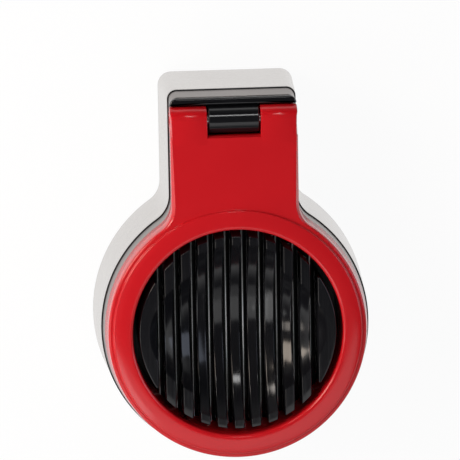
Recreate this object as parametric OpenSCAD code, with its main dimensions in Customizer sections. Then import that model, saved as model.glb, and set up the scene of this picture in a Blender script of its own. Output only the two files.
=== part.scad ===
// Round egg slicer with a keyhole-shaped steel base, a black slotted cradle and a
// hinged red frame strung with ten cutting wires. Millimetres, +Z up.
// The plan is drawn about the drum's axis and then moved, so that the origin is at
// the centre of the whole outline, on the table. The hinge is towards +Y.

/* [Base shell] */
// Outside diameter of the drum at the top of the steel shell
drum_d = 83.3; // [76:0.1:96]
// Height of the top of the steel shell above the table
shell_h = 27; // [24:0.5:32]
// How far the shell wall leans out from its top to its foot
shell_lean = 1.35; // [0.4:0.05:2.5]
// Thickness of the steel sheet
sheet_t = 0.6; // [0.4:0.05:1]
// Radius that the foot of the shell is rolled to
foot_round = 2; // [1.4:0.1:3]
// Width of the inward lip at the top of the shell
rim_lip = 2.2; // [1.6:0.1:2.5]

/* [Tail] */
// Width of the hinge tail at the top of the steel shell
tail_w = 39.8; // [32:0.2:48]
// Reach of the tail from the drum's axis at the top of the shell
tail_reach = 74.5; // [72:0.5:84]
// Corner radius of the tail
tail_corner_r = 3; // [2.6:0.1:5]
// Radius of the hollow between the drum and the tail
neck_r = 9; // [5:0.5:14]

/* [Collar] */
// Height of the steel collar between the shell and the frame
collar_h = 4.5; // [3:0.1:7]
// How far the collar leans in over its height
collar_lean = 1; // [0.3:0.1:1.6]
// Rounding of the collar's top edge
collar_round = 0.5; // [0.3:0.1:1]

/* [Cradle] */
// Thickness of the cradle's flange, which shows as a line under the collar
flange_t = 0.5; // [0.4:0.1:1]
// Distance from one cutting wire to the next
pitch = 5.25; // [4.4:0.05:6]
// Width of one bar
bar_w = 2.95; // [1.8:0.05:3.4]
// Number of bars, an odd number
bar_count = 9; // [7:2:9]
// Number of bars in the middle that take an egg laid lengthwise
long_bars = 5; // [3:2:5]
// Gap between the ends of the bars and the frame ring
bars_gap = 2; // [0.5:0.1:4]
// Height of the flat lands at the ends of the bars
land_z = 39.4; // [37:0.1:41]
// Depth of the egg bowl below the lands
bowl_depth = 13.5; // [10:0.1:15]
// Land left at the last bars by the bowl for an egg laid across them
bowl_rim = 3.1; // [1.4:0.1:6.4]
// Half width of that bowl along the bars
bowl_along = 22; // [18:0.1:24]
// Land left at the ends of the middle bars by the bowl for an egg laid lengthwise
long_bowl_rim = 2.7; // [1.4:0.1:5.4]
// Gap between the cradle's cup and the lip of the shell
cup_gap = 1.45; // [0.2:0.05:2.5]
// Wall of the cup and thickness of its floor
cup_t = 1.8; // [1.2:0.1:2.4]
// Thickness of the deck in the tail that carries the hinge
deck_t = 2.4; // [1.6:0.1:4]
// Height of the top of the cup's floor
cup_floor_z = 18; // [14:0.5:20]

/* [Frame] */
// How far the frame ring stands inside the edge of the drum
ring_inset = 0.95; // [0:0.05:2.5]
// Width of the frame ring, from its inner to its outer wall
ring_w = 8.3; // [7:0.1:10]
// Width of the rim outside the ring's raised face
rim_w = 2.6; // [1.4:0.1:4]
// Top of the raised face
ring_top = 40; // [38:0.1:42]
// Depth of the step from the raised face to the rim
face_step = 1.5; // [0.6:0.1:2]
// Radius on the edges of the face and of the rim
edge_r = 0.7; // [0.3:0.05:0.7]
// Wall of the ring's inner and outer skirts
frame_wall = 1.6; // [1.2:0.1:2.2]
// Width of the frame's tail
frame_tail_w = 39.1; // [30:0.1:47]
// Bevel along the sides of the frame's tail
tail_bevel = 1; // [0.3:0.1:1.6]
// Gap between the closed frame and the collar
frame_gap = 0.3; // [0.2:0.05:0.8]

/* [Wires] */
// Diameter of a cutting wire
wire_d = 0.6; // [0.4:0.05:0.8]
// Height of the wires when the frame is closed
wire_z = 24.6; // [22:0.1:25]
// Diameter of the crimped bead at each end of a wire
bead_d = 1.8; // [1.2:0.1:2.2]
// Length of that bead
bead_l = 1.2; // [0.8:0.1:1.6]
// Lowest edge of the wire carrier
carrier_low_z = 23; // [20:0.1:23.2]
// Thickness of the carrier's skirt
carrier_t = 2.2; // [1.8:0.1:2.6]
// Thickness of the carrier's flange
carrier_flange_t = 2.5; // [2:0.1:3]

/* [Hinge] */
// Distance of the hinge pin from the end of the tail
hinge_in = 8.6; // [8.2:0.1:12]
// Height of the hinge pin
hinge_z = 33; // [32:0.1:35]
// Radius of the hinge barrel
barrel_r = 4.2; // [3.4:0.1:4.5]
// Diameter of the hinge pin
pin_d = 3; // [2:0.1:4]
// Radial running clearance of the pin in the bracket
pin_play = 0.06; // [0.02:0.01:0.1]
// Width of the middle knuckle
knuckle_w = 15.6; // [8:0.1:20]
// Side clearance between the knuckles
knuckle_gap = 0.4; // [0.2:0.05:1]
// Height of the top of the bracket's back wall
hump_z = 34; // [32.5:0.1:35]
// Thickness of the bracket's back wall
hump_t = 1.6; // [1.2:0.1:2.4]
// How far the bracket's cap stands inside the side of the frame's tail
cap_inset = 0.05; // [0:0.05:2]
// Gap between the barrel and the back wall
hump_gap = 0.4; // [0.3:0.05:0.8]
// Thickness of the bracket's foot plate
bracket_t = 0.9; // [0.6:0.1:1]

/* [Screws] */
// Diameter of a screw's shank
screw_d = 2.2; // [1.6:0.1:2.6]
// Diameter of a screw's head
screw_head_d = 4; // [3.2:0.1:4.2]
// Height of a screw's head
screw_head_h = 1.2; // [0.8:0.1:1.6]
// Diameter of a screw boss under the cradle
boss_d = 6; // [5:0.1:8]
// Distance of the base screws from the inside of the cup's wall
boss_inset = 4.2; // [3:0.1:8]

/* [Bottom frame] */
// Thickness of the black tread that shows under the shell
tread_t = 0.8; // [0.5:0.1:1.5]
// Height of the top of the bottom frame
bottom_h = 5; // [4:0.1:7]
// Width of the bottom frame's band
bottom_w = 4.5; // [3:0.1:8]

/* [Hidden] */

steel = [0.8, 0.79, 0.78];
dark_steel = [0.62, 0.61, 0.61];
black = [0.07, 0.07, 0.08];
red = [0.8, 0.1, 0.13];

eps = 0.01;
over = 1;                                   // how far a cut runs past what it cuts
fit = 0.2;                                  // gap between parts that are only laid together
drum_r = drum_d / 2;
tail_half = tail_w / 2;
foot_reach = tail_reach + shell_lean;
foot_r = drum_r + shell_lean;
ring_out_r = drum_r - ring_inset;
ring_in_r = ring_out_r - ring_w;
face_r = ring_out_r - rim_w;
bars_r = ring_in_r - bars_gap;
bowl_across = bars_r - bowl_rim;
long_bowl_r = bars_r - long_bowl_rim;
cup_r = drum_r - rim_lip - cup_gap - cup_t;
boss_pitch_r = cup_r - boss_inset;
hinge_y = tail_reach - hinge_in;
drum_y = -(foot_reach - foot_r) / 2;        // puts the origin midway along the outline
collar_z = shell_h + flange_t;
collar_top = collar_z + collar_h;
frame_low = collar_top + frame_gap;
rim_top = ring_top - face_step;
slot_w = pitch - bar_w;
wire_count = bar_count + 1;
crescent_x = bar_count / 2 * pitch + slot_w / 2;
hump_front = hinge_y + barrel_r + hump_gap;
hump_back = hump_front + hump_t;
hump_w = frame_tail_w - 2 * cap_inset;
cap_cover = 0.36;                           // from the collar's inner face to the cap's edge
plate_front = 2;                            // bracket's foot plate, in front of the barrel
bracket_half = tail_half - collar_lean - sheet_t - fit;   // fits inside the collar
channel_top = rim_top - frame_wall;
carrier_rise = 0.7;                         // from the ring's lower edge to the carrier's flange
carrier_top = frame_low + carrier_rise + carrier_flange_t;
tight_hole_d = screw_d + 0.1;               // hole that a screw bites into
free_hole_d = screw_d + 0.4;                // hole that a screw passes through
head_hole_d = screw_head_d + 0.4;
cross_l = 2.4;                              // the cross in a screw's head
cross_w = 0.6;
base_screw_l = 9;
base_screw_z = 2 * screw_head_h + 0.1;      // underside of the head
base_hole_top = base_screw_z + base_screw_l + 2 * fit;
frame_screw_l = 4;
frame_screw_r = (ring_in_r + ring_out_r) / 2;
frame_screw_z = carrier_top - carrier_flange_t + screw_head_h;
frame_hole_top = frame_screw_z + frame_screw_l + fit;
frame_boss_d = 4.4;
hinge_screw_edge = 1;                       // from the screw's head to the knuckle's side
hinge_screw_in = 0.6;                       // from the screw to the back wall
hinge_screw_cover = 2;                      // of plastic over the screw's tip
hinge_screw_x = knuckle_w / 2 - screw_head_d / 2 - hinge_screw_edge;
hinge_screw_y = hump_front - hinge_screw_in;
hinge_screw_l = deck_t + hump_z - collar_z - hinge_screw_cover;
screw_start = 45;                           // first of four screws, in degrees from +X
foot_z = tread_t + foot_round;              // centre of the rolled foot
foot_flat = 0.6;                            // of the shell's foot, inside its roll
top_round = 0.8;                            // on the shell's top edge
flange_inset = 0.12;                        // from the shell's edge to the flange's
tread_inset = 1.4;                          // from the roll's widest line to the tread's edge
lug_rim = 1;                                // of a lug round its screw boss
step_fillet = 0.35;                         // at the foot of the ring's raised face
bevel_away = 4;                             // from the ring to the start of the tail's bevel
tail_roof = 2.5;                            // above the pockets under the tail
rib_w = 3;                                  // between those pockets
press_play = 0.02;                          // of the pin in the frame, which holds it
pin_sunk = 0.5;                             // below the side of the frame's tail
wire_play = 0.05;
bead_play = 0.1;
bead_wall = 1.2;                            // of the skirt, inside a bead's pocket
barrel_gap = 0.5;                           // from the barrel to the collar's notches
arc_step = 5;                               // degrees between the points of an outline

// ---- outline ----------------------------------------------------------------

// Points on an arc about c from angle a to angle b, both ends included.
function arc(c, r, a, b) =
    let (n = max(2, ceil(abs(b - a) / arc_step)))
    [for (i = [0 : n]) let (t = a + (b - a) * i / n) c + r * [cos(t), sin(t)]];

// Angle at which a neck of radius f joins a drum of radius r to a tail 2 w wide.
function neck_angle(r, w, f) = acos((w + f) / (r + f));

// A drum with a tail, anticlockwise: the right half, then its mirror image without
// the first point, which is on the axis. The tail's corners have radius k.
function outline(r, w, f, k, reach) =
    let (a = neck_angle(r, w, f),
         h = concat(arc([0, 0], r, -90, a),
                    arc([w + f, (r + f) * sin(a)], f, a + 180, 180),
                    arc([w - k, reach - k], k, 0, 90)))
    concat(h, [for (i = [len(h) - 1 : -1 : 1]) [-h[i][0], h[i][1]]]);

// The base's keyhole outline, moved out by d, with its tail ending at reach.
function keyhole(d = 0, reach = tail_reach) =
    outline(drum_r + d, tail_half + d, neck_r - d, max(0.4, tail_corner_r + d), reach);

// A solid of one closed wall: each profile point is [offset, reach, height] and
// becomes one ring of the outline; the last ring joins the first.
module keyhole_wall(profile) {
    rings = [for (p = profile) keyhole(p[0], p[1])];
    n = len(rings[0]);
    m = len(profile);
    points = [for (i = [0 : m - 1]) for (q = rings[i]) [q[0], q[1], profile[i][2]]];
    faces = [for (i = [0 : m - 1]) for (j = [0 : n - 1])
                let (a = i * n + j, b = i * n + (j + 1) % n,
                     c = ((i + 1) % m) * n + (j + 1) % n, e = ((i + 1) % m) * n + j)
                each [[a, b, c], [a, c, e]]];
    polyhedron(points, faces, convexity = 6);
}

module plate(d, z0, z1, reach = tail_reach) {
    translate([0, 0, z0]) linear_extrude(z1 - z0) polygon(keyhole(d, reach));
}

module placed() translate([0, drum_y, 0]) children();

module tube(r_out, r_in, z0, z1) {
    translate([0, 0, z0]) difference() {
        cylinder(h = z1 - z0, r = r_out, $fn = 120);
        translate([0, 0, -over]) cylinder(h = z1 - z0 + 2 * over, r = r_in, $fn = 120);
    }
}

module around(count, r, start) {
    for (i = [0 : count - 1]) rotate(start + 360 / count * i) translate([r, 0, 0]) children();
}

// A cylinder along X, centred on the hinge axis.
module along_hinge(r, length) {
    translate([-length / 2, hinge_y, hinge_z]) rotate([0, 90, 0]) cylinder(h = length, r = r, $fn = 60);
}

// A screw driven upwards: the underside of its head is at z = 0.
module screw(length) {
    root = screw_head_h / 3;
    translate([0, 0, -root]) cylinder(h = length + root, d = screw_d, $fn = 24);
    difference() {
        translate([0, 0, -screw_head_h]) cylinder(h = screw_head_h, d = screw_head_d, $fn = 32);
        for (a = [0, 90]) rotate(a)
            translate([-cross_l / 2, -cross_w / 2, -screw_head_h - over])
                cube([cross_l, cross_w, over + screw_head_h / 2]);
    }
}

// ---- base -------------------------------------------------------------------

// Offset of the shell's outer face at height z.
function lean(z) = shell_lean * (shell_h - z) / shell_h;

module base_shell() color(steel) placed() {
    t = sheet_t;
    foot_d = lean(foot_z);
    foot_lip = foot_d - foot_round - foot_flat;
    outer = concat(
        [[-rim_lip, shell_h]],
        [for (a = [90 : -45 : 0])
            [top_round * (cos(a) - 1), shell_h + top_round * (sin(a) - 1)]],
        [for (a = [0 : -22.5 : -90])
            [foot_d - foot_round + foot_round * cos(a), foot_z + foot_round * sin(a)]],
        [[foot_lip, tread_t]]);
    inner = concat(
        [[foot_lip, tread_t + t]],
        [for (a = [-90 : 30 : 0])
            [foot_d - foot_round + (foot_round - t) * cos(a), foot_z + (foot_round - t) * sin(a)]],
        [[-t, shell_h - top_round], [-top_round, shell_h - t], [-rim_lip, shell_h - t]]);
    keyhole_wall([for (p = concat(outer, inner)) [p[0], tail_reach + p[0], p[1]]]);
}

// The collar leans in, and at the end of the tail it steps in to the bracket's back
// wall. It is notched at both sides for the ends of the hinge barrel.
module collar() color(dark_steel) placed() {
    t = sheet_t;
    top_in = hump_back + fit;
    notch_y = hinge_y - barrel_r - barrel_gap;
    difference() {
        keyhole_wall(concat(
            [[0, tail_reach, collar_z]],
            [for (a = [0 : 45 : 90])
                let (d = collar_round * (1 - cos(a)))
                    [-collar_lean - d, top_in + t - d, collar_top + collar_round * (sin(a) - 1)]],
            [[-collar_lean - t, top_in, collar_top],
             [-collar_lean - t, top_in, collar_top - collar_round],
             [-t, tail_reach - t, collar_z]]));
        translate([-tail_w, notch_y, hinge_z - barrel_r - barrel_gap])
            cube([2 * tail_w, hump_front - hump_gap / 2 - notch_y, collar_top]);
    }
}

// Solid of the egg bowl for an egg laid across the bars: an arc turned about an
// axis that runs along X above the lands, so that every bar is cut round.
module bowl_across_bars() {
    radius = (pow(bowl_along, 2) + pow(bowl_depth, 2)) / (2 * bowl_depth);
    axis_up = radius - bowl_depth;
    profile_r = (pow(bowl_across, 2) + pow(bowl_depth, 2)) / (2 * bowl_depth);
    translate([0, 0, land_z + axis_up]) rotate([0, 90, 0]) rotate_extrude($fn = 120)
        intersection() {
            translate([radius - profile_r, 0]) circle(r = profile_r, $fn = 120);
            translate([axis_up / 2, -bars_r]) square([radius, 2 * bars_r]);
        }
}

// Solid of the bowl for an egg laid lengthwise: a round cap over the middle bars.
module bowl_along_bars() {
    radius = (pow(long_bowl_r, 2) + pow(bowl_depth, 2)) / (2 * bowl_depth);
    width = long_bars * pitch;
    intersection() {
        translate([0, 0, land_z + radius - bowl_depth]) sphere(r = radius, $fn = 120);
        translate([-width / 2, -bars_r, cup_floor_z]) cube([width, 2 * bars_r, 2 * radius]);
    }
}

module bars() {
    height = land_z - cup_floor_z + cup_t;
    half_count = (bar_count - 1) / 2;
    difference() {
        intersection() {
            translate([0, 0, cup_floor_z - cup_t]) cylinder(h = height, r = bars_r, $fn = 120);
            union() {
                for (i = [-half_count : half_count])
                    translate([i * pitch - bar_w / 2, -bars_r, cup_floor_z - cup_t])
                        cube([bar_w, 2 * bars_r, height]);
                for (side = [0, 1]) mirror([side, 0, 0])
                    translate([crescent_x, -bars_r, cup_floor_z - cup_t])
                        cube([bars_r, 2 * bars_r, height]);
            }
        }
        bowl_across_bars();
        bowl_along_bars();
    }
}

module cradle() color(black) placed() {
    deck_d = -rim_lip - fit;
    flange_d = -flange_inset;
    deck_low = collar_z - deck_t;
    difference() {
        union() {
            bars();
            translate([0, 0, cup_floor_z - cup_t]) cylinder(h = cup_t, r = cup_r + cup_t, $fn = 120);
            tube(cup_r + cup_t, cup_r, cup_floor_z - eps, collar_z);
            difference() {
                union() {
                    plate(flange_d, shell_h, collar_z, tail_reach + flange_d);
                    plate(deck_d, deck_low, collar_z, tail_reach + deck_d);
                }
                translate([0, 0, deck_low - over])
                    cylinder(h = deck_t + 2 * over, r = cup_r + cup_t / 2, $fn = 120);
                // the deck reaches no further round the drum than the tail
                difference() {
                    translate([0, 0, deck_low - over])
                        cylinder(h = deck_t + over - flange_t - eps, r = drum_r, $fn = 120);
                    translate([-tail_half, 0, 0]) cube([tail_w, tail_reach, collar_top]);
                }
            }
            around(4, boss_pitch_r, screw_start)
                translate([0, 0, bottom_h])
                    cylinder(h = cup_floor_z - cup_t - bottom_h + eps, d = boss_d, $fn = 40);
        }
        around(4, boss_pitch_r, screw_start)
            translate([0, 0, bottom_h - over])
                cylinder(h = base_hole_top - bottom_h + over, d = tight_hole_d, $fn = 24);
        for (side = [-1, 1]) translate([side * hinge_screw_x, hinge_screw_y, deck_low - over])
            cylinder(h = deck_t + 2 * over, d = free_hole_d, $fn = 24);
    }
}

// Keyhole ring that closes the foot: the shell stands on its tread, and four lugs
// take the screws that draw it up to the cradle.
module bottom_frame() color(black) placed() {
    foot_d = lean(foot_z);
    tread_d = foot_d - tread_inset;
    lip_d = foot_d - foot_round - foot_flat - fit;
    inner_d = lip_d - bottom_w;
    lug_w = boss_d + 2 * lug_rim;
    lug_t = bottom_h - screw_head_h;
    difference() {
        union() {
            difference() {
                union() {
                    plate(tread_d, 0, tread_t, tail_reach + tread_d);
                    plate(lip_d, 0, bottom_h, tail_reach + lip_d);
                }
                plate(inner_d, -over, bottom_h + over, tail_reach + inner_d);
            }
            around(4, boss_pitch_r, screw_start) {
                translate([0, 0, screw_head_h]) cylinder(h = lug_t, d = lug_w, $fn = 40);
                translate([0, -lug_w / 2, screw_head_h])
                    cube([drum_r + inner_d + bottom_w / 2 - boss_pitch_r, lug_w, lug_t]);
            }
        }
        around(4, boss_pitch_r, screw_start) translate([0, 0, -over]) {
            cylinder(h = bottom_h + 2 * over, d = free_hole_d, $fn = 24);
            cylinder(h = base_screw_z + over, d = head_hole_d, $fn = 32);
        }
    }
}

module base_screws() color(steel) placed() {
    around(4, boss_pitch_r, screw_start) translate([0, 0, base_screw_z]) screw(base_screw_l);
}

// ---- hinge ------------------------------------------------------------------

// Corners rounded at the back only: a plan from y0 to y1 that is w wide.
module tail_plan(w, y0, y1) {
    k = min(tail_corner_r, y1 - y0 - eps);
    translate([-w / 2, y0]) square([w, y1 - y0 - k]);
    translate([-w / 2 + k, y0]) square([w - 2 * k, y1 - y0]);
    for (side = [-1, 1]) intersection() {
        translate([side * (w / 2 - k), y1 - k]) circle(r = k, $fn = 48);
        translate([-w / 2, y0]) square([w, y1 - y0]);
    }
}

module hinge_bracket() color(black) placed() {
    plate_y = hinge_y - barrel_r - plate_front;
    cap_z = collar_top + fit;
    cap_back = hump_back + fit + cap_cover;
    difference() {
        union() {
            translate([0, 0, collar_z]) linear_extrude(bracket_t)
                tail_plan(2 * bracket_half, plate_y, hump_back);
            // back wall inside the collar, and the cap that covers the collar's edge
            intersection() {
                translate([0, 0, collar_z]) linear_extrude(hump_z - collar_z)
                    tail_plan(2 * bracket_half, plate_y, hump_back);
                translate([-tail_w, hump_front, collar_z]) cube([2 * tail_w, tail_reach, hump_z]);
            }
            intersection() {
                translate([0, 0, cap_z]) linear_extrude(hump_z - cap_z)
                    tail_plan(hump_w, plate_y, cap_back);
                translate([-tail_w, hump_front, collar_z]) cube([2 * tail_w, tail_reach, hump_z]);
            }
            // middle knuckle on its block
            along_hinge(barrel_r, knuckle_w);
            translate([-knuckle_w / 2, hinge_y - barrel_r, collar_z])
                cube([knuckle_w, hump_front - hinge_y + barrel_r + eps, hinge_z - collar_z]);
        }
        along_hinge(pin_d / 2 + pin_play, knuckle_w + 2 * over);
        for (side = [-1, 1]) translate([side * hinge_screw_x, hinge_screw_y, collar_z - over])
            cylinder(h = over + hinge_screw_l - deck_t + fit, d = tight_hole_d, $fn = 24);
    }
}

module hinge_screws() color(steel) placed() {
    for (side = [-1, 1]) translate([side * hinge_screw_x, hinge_screw_y, collar_z - deck_t])
        screw(hinge_screw_l);
}

module hinge_pin() color(steel) placed() {
    along_hinge(pin_d / 2, frame_tail_w - 2 * pin_sunk);
}

// ---- frame ------------------------------------------------------------------

// Section of the ring: [radius, height], from the outer wall over the rim, up the
// step to the raised face, and down the inner wall. Its underside is a channel.
module ring_section() {
    e = edge_r;
    wall_low = frame_low;
    in_low = carrier_top;
    polygon(concat(
        [[ring_out_r, wall_low]],
        arc([ring_out_r - e, rim_top - e], e, 0, 90),
        [[face_r + step_fillet, rim_top], [face_r, rim_top + step_fillet]],
        arc([face_r - e, ring_top - e], e, 0, 90),
        arc([ring_in_r + e, ring_top - e], e, 90, 180),
        [[ring_in_r, in_low], [ring_in_r + frame_wall, in_low],
         [ring_in_r + frame_wall, channel_top], [ring_out_r - frame_wall, channel_top],
         [ring_out_r - frame_wall, wall_low]]));
}

// Tail of the frame: a plate that runs from the ring's rim to the barrel, with a
// bevel along both sides. It starts where the neck leaves the ring.
module frame_tail() {
    w = frame_tail_w / 2;
    end_y = hinge_y + barrel_r + over;
    start_y = ring_out_r * sin(neck_angle(ring_out_r, w, neck_r));
    difference() {
        intersection() {
            translate([-ring_out_r, 0, 0]) rotate([90, 0, 90]) linear_extrude(2 * ring_out_r)
                union() {
                    translate([hinge_y, hinge_z]) circle(r = barrel_r, $fn = 72);
                    polygon([[start_y, frame_low], [hinge_y - barrel_r, frame_low], [hinge_y, hinge_z],
                             [hinge_y, hinge_z + barrel_r], [ring_out_r, rim_top], [start_y, rim_top]]);
                }
            linear_extrude(ring_top) polygon(outline(ring_out_r, w, neck_r, tail_bevel, end_y));
        }
        for (side = [0, 1]) mirror([side, 0, 0])
            translate([w, ring_out_r + bevel_away, rim_top]) rotate([-90, 0, 0])
                linear_extrude(end_y)
                    polygon([[over, -over], [-tail_bevel, -over], [-tail_bevel, 0],
                             [0, 2 * tail_bevel], [over, 2 * tail_bevel]]);
    }
}

module frame_ring() color(red) placed() {
    gap_w = knuckle_w + 2 * knuckle_gap;
    pocket_y = ring_out_r + frame_wall / 2;
    pocket_l = hinge_y - barrel_r - frame_wall - pocket_y;
    pocket_h = rim_top - tail_roof - frame_low;
    difference() {
        union() {
            rotate_extrude($fn = 180) ring_section();
            difference() {
                frame_tail();
                cylinder(h = ring_top, r = ring_out_r - frame_wall / 2, $fn = 120);
            }
            around(4, frame_screw_r, screw_start)
                translate([0, 0, carrier_top])
                    cylinder(h = channel_top - carrier_top + eps, d = frame_boss_d, $fn = 32);
        }
        // pockets under the tail, with a rib between them
        for (side = [0, 1]) mirror([side, 0, 0])
            translate([rib_w / 2, pocket_y, frame_low - over])
                cube([frame_tail_w / 2 - frame_wall - rib_w / 2, pocket_l, pocket_h + over]);
        // room for the middle knuckle
        translate([-gap_w / 2, hinge_y - barrel_r - knuckle_gap, hinge_z - barrel_r - over])
            cube([gap_w, 3 * barrel_r, 3 * barrel_r]);
        along_hinge(pin_d / 2 + press_play, frame_tail_w + 2 * over);
        around(4, frame_screw_r, screw_start)
            translate([0, 0, carrier_top - over])
                cylinder(h = frame_hole_top - carrier_top + over, d = tight_hole_d, $fn = 24);
    }
}

function wire_x(i) = (i - (wire_count - 1) / 2) * pitch;
bead_seat_r = ring_in_r + bead_wall;
function wire_half(i) = sqrt(pow(bead_seat_r, 2) - pow(wire_x(i), 2));

module along_wire(i, r, y0, y1) {
    translate([wire_x(i), y0, wire_z]) rotate([-90, 0, 0]) cylinder(h = y1 - y0, r = r, $fn = 24);
}

// Skirt that hangs from the ring into the cradle's cup. Every wire passes through
// a hole in it at each end, and its bead sits in a flat-bottomed pocket outside.
module wire_carrier() color(red) placed() {
    difference() {
        union() {
            tube(ring_in_r + carrier_t, ring_in_r, carrier_low_z, carrier_top);
            tube(ring_out_r - frame_wall - fit, ring_in_r, carrier_top - carrier_flange_t, carrier_top);
        }
        for (i = [0 : wire_count - 1]) {
            along_wire(i, wire_d / 2 + wire_play, -ring_out_r, ring_out_r);
            along_wire(i, bead_d / 2 + bead_play, wire_half(i), ring_out_r);
            along_wire(i, bead_d / 2 + bead_play, -ring_out_r, -wire_half(i));
        }
        around(4, frame_screw_r, screw_start) translate([0, 0, carrier_low_z - over]) {
            cylinder(h = ring_top, d = free_hole_d, $fn = 24);
            cylinder(h = frame_screw_z - carrier_low_z + over, d = head_hole_d, $fn = 32);
        }
    }
}

module frame_screws() color(steel) placed() {
    around(4, frame_screw_r, screw_start) translate([0, 0, frame_screw_z]) screw(frame_screw_l);
}

module wire(i) color(steel) placed() {
    half = wire_half(i);
    along_wire(i, wire_d / 2, -half - eps, half + eps);
    along_wire(i, bead_d / 2, half, half + bead_l);
    along_wire(i, bead_d / 2, -half - bead_l, -half);
}

base_shell();
collar();
cradle();
bottom_frame();
base_screws();
hinge_bracket();
hinge_screws();
hinge_pin();
frame_ring();
wire_carrier();
frame_screws();
wire(0);  // wire_1
wire(1);  // wire_2
wire(2);  // wire_3
wire(3);  // wire_4
wire(4);  // wire_5
wire(5);  // wire_6
wire(6);  // wire_7
wire(7);  // wire_8
wire(8);  // wire_9
wire(9);  // wire_10
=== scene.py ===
"""Looks of a round egg slicer: smooth shells, rounded bars and finishes around its CAD parts.

Plans are drawn in millimetres about the drum's axis and moved to the row's frame, in metres,
by `Shape.placed`. The hinge is towards +Y.
"""

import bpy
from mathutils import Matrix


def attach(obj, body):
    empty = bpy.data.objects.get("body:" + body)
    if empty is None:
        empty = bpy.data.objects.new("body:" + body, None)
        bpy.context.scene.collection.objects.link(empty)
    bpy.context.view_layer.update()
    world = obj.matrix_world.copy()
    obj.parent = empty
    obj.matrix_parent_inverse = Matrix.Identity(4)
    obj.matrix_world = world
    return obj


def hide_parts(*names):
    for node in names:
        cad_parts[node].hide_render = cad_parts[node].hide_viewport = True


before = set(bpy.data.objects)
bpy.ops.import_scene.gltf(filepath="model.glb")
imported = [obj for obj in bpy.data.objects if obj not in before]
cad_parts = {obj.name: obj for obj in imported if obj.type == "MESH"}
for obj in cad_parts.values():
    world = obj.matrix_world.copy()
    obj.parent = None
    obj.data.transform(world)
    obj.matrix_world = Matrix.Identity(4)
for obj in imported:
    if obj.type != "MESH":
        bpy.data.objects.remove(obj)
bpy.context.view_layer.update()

import logging
import math
from dataclasses import dataclass, field
from enum import Enum
from functools import cache
from typing import Any, Sequence

import bmesh
import bpy
import numpy as np
from mathutils import Matrix, Vector

Array, Pair, Object = np.ndarray, tuple[float, float], bpy.types.Object
Tree, Socket = bpy.types.NodeTree, bpy.types.NodeSocket
LOG = logging.getLogger("egg_slicer")
MM = 0.001
DRUM_Y = -16.425          # the drum's axis in the row's frame, in millimetres
HINGE = (65.9, 33.0)      # the hinge's y, from the drum's axis, and z
BARREL_R, BARREL_EDGE = 4.2, 0.3
MERGE = 1e-7              # metres within which two grid points are one
SHARP_DEG = 35.0          # edges that turn by more than this stay sharp
AFTER_WALL_DEG = -10.0    # an arc that follows a straight wall starts here, not at 0
MIX_SHARE, MIX_FIRST, MIX_SECOND, MIX_RESULT = 0, 6, 7, 2   # a colour mix node's sockets


# ---- surfaces --------------------------------------------

@dataclass
class Shape:
    """Points in millimetres and quads that index them."""

    points: Array
    quads: Array

    @staticmethod
    def grid(points: Array, wrap_rows: bool = False, wrap_cols: bool = False) -> "Shape":
        """A surface of two parameters: row i and column j of the grid.

        Args:
            points: array of rows x columns x 3.
            wrap_rows: joins the last row to the first.
            wrap_cols: joins the last column to the first.

        Returns:
            The surface, with one quad between each four neighbours.
        """
        rows, cols = points.shape[:2]
        i, j = np.meshgrid(np.arange(rows if wrap_rows else rows - 1),
                           np.arange(cols if wrap_cols else cols - 1), indexing="ij")
        i_next, j_next = (i + 1) % rows, (j + 1) % cols
        quads = np.stack([i * cols + j, i * cols + j_next,
                          i_next * cols + j_next, i_next * cols + j], -1)
        return Shape(points.reshape(-1, 3), quads.reshape(-1, 4))

    @staticmethod
    def join(shapes: Sequence["Shape"]) -> "Shape":
        """Puts several shapes into one, side by side."""
        starts = np.cumsum([0] + [len(s.points) for s in shapes[:-1]])
        return Shape(np.concatenate([s.points for s in shapes]),
                     np.concatenate([s.quads + n for s, n in zip(shapes, starts)]))

    def outward(self) -> "Shape":
        """Turns a closed shape's faces outwards: its signed volume is then positive.

        Returns:
            The shape itself, or one with its faces turned over.
        """
        a, b, c, d = (self.points[corner] for corner in self.quads.T)
        volume = np.einsum("ij,ij->", a, np.cross(b, c)) + np.einsum("ij,ij->", a, np.cross(c, d))
        return self if volume > 0 else Shape(self.points, self.quads[:, ::-1])

    def mirrored(self) -> "Shape":
        """The same shape on the other side of X = 0."""
        return Shape(self.points * [-1, 1, 1], self.quads[:, ::-1])

    def placed(self, name: str) -> Object:
        """Makes the Blender object: closed poles and seams, smooth faces, sharp only past an angle.

        Args:
            name: the object's name.

        Returns:
            The object, at the origin, with its place in its mesh.
        """
        mesh = bpy.data.meshes.new(name)
        mesh.from_pydata((self.points + [0, DRUM_Y, 0]) * MM, [], self.quads)
        work = bmesh.new()
        work.from_mesh(mesh)
        bmesh.ops.remove_doubles(work, verts=work.verts, dist=MERGE)
        bmesh.ops.dissolve_degenerate(work, edges=work.edges, dist=MERGE)
        work.to_mesh(mesh)
        work.free()
        mesh.shade_smooth()
        mesh.set_sharp_from_angle(angle=math.radians(SHARP_DEG))
        return in_scene(name, mesh)


def in_scene(name: str, data: bpy.types.ID) -> Object:
    """Makes an object of a mesh, a lamp's or a camera's data and links it to the scene.

    Args:
        name: the object's name.
        data: what it shows.

    Returns:
        The object, at the origin.
    """
    made = bpy.data.objects.new(name, data)
    bpy.context.scene.collection.objects.link(made)
    return made


def between(knots: Sequence[Array], counts: Sequence[int]) -> Array:
    """Evenly spaced values from each knot to the next.

    Args:
        knots: arrays of one shape, in rising order.
        counts: how many steps each stretch has.

    Returns:
        An array with one axis more than the knots, for the steps.
    """
    parts = [low[..., None] + (high - low)[..., None] * np.arange(n) / n
             for low, high, n in zip(knots[:-1], knots[1:], counts)]
    return np.concatenate(parts + [np.asarray(knots[-1])[..., None]], axis=-1)


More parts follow.
